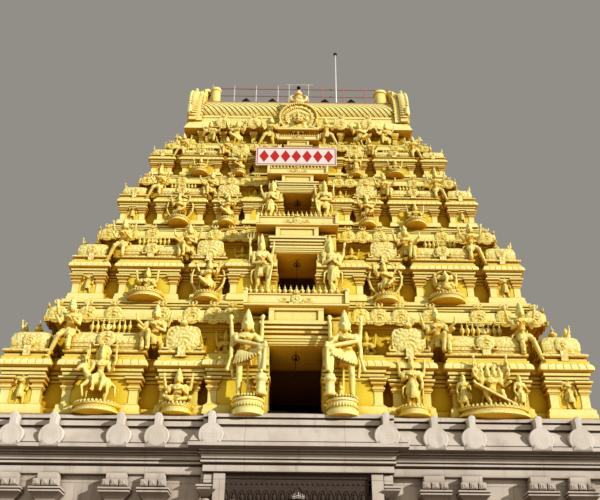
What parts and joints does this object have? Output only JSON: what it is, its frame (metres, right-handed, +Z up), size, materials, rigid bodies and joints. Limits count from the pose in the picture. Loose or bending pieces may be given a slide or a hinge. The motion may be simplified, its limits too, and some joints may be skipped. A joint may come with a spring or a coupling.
{
  "type": "gopuram gate tower",
  "caption": "Temple gate tower: stone gatehouse with a through passage, stepped stuccoed storeys ringed by small shrines, and a wagon-vaulted roof.",
  "frame": {"origin": "on the ground, under the middle of the tower", "axes": "+X to the right along the long side as seen from the front, +Y towards the back, +Z up; the front looks along -Y"},
  "size_m": [17.64, 11.84, 26.99],
  "materials": {
    "granite": "dressed grey-beige granite with dark joints and weather stains",
    "carved_granite": "dark brown carved granite",
    "limewashed_wall": "ochre-yellow limewash on lime plaster, matt",
    "limewashed_ornament": "pale cream-yellow limewash on modelled stucco, matt",
    "roof_plaster": "yellow limewash on lattice-pattern plaster, stained",
    "dark_cap": "blackened bare sockets of missing finials",
    "painted_iron": "faded red-brown paint with rust",
    "white_pole": "pale weathered metal pole",
    "sign_enamel": "white painted board with a red border and plain red lozenges"
  },
  "bodies": {
    "root": {"gatehouse_left": "granite", "gatehouse_right": "granite", "gateway_ceiling": "granite", "gate_frame_front": "carved_granite", "gate_frame_back": "carved_granite", "stone_cornice": "granite", "tier1_front_wall": "limewashed_wall", "tier1_back_wall": "limewashed_wall", "tier1_left_wall": "limewashed_wall", "tier1_right_wall": "limewashed_wall", "tier1_front_parapet": "limewashed_ornament", "tier1_back_parapet": "limewashed_ornament", "tier1_cornice": "limewashed_ornament", "tier2_front_wall": "limewashed_wall", "tier2_back_wall": "limewashed_wall", "tier2_left_wall": "limewashed_wall", "tier2_right_wall": "limewashed_wall", "tier2_front_parapet": "limewashed_ornament", "tier2_back_parapet": "limewashed_ornament", "tier2_cornice": "limewashed_ornament", "tier3_front_wall": "limewashed_wall", "tier3_back_wall": "limewashed_wall", "tier3_left_wall": "limewashed_wall", "tier3_right_wall": "limewashed_wall", "tier3_front_parapet": "limewashed_ornament", "tier3_back_parapet": "limewashed_ornament", "tier3_cornice": "limewashed_ornament", "tier4_front_wall": "limewashed_wall", "tier4_back_wall": "limewashed_wall", "tier4_left_wall": "limewashed_wall", "tier4_right_wall": "limewashed_wall", "tier4_front_parapet": "limewashed_ornament", "tier4_back_parapet": "limewashed_ornament", "tier4_cornice": "limewashed_ornament", "front_guard_left": "limewashed_ornament", "front_guard_right": "limewashed_ornament", "back_guard_left": "limewashed_ornament", "back_guard_right": "limewashed_ornament", "neck": "limewashed_wall", "eave": "limewashed_ornament", "roof_vault": "roof_plaster", "gable_left": "limewashed_ornament", "gable_right": "limewashed_ornament", "roof_arch_front": "limewashed_ornament", "roof_arch_back": "limewashed_ornament", "ridge_caps": "dark_cap", "roof_railing": "painted_iron", "lightning_rod": "white_pole", "sign_board": "sign_enamel"}
  },
  "joints": []
}
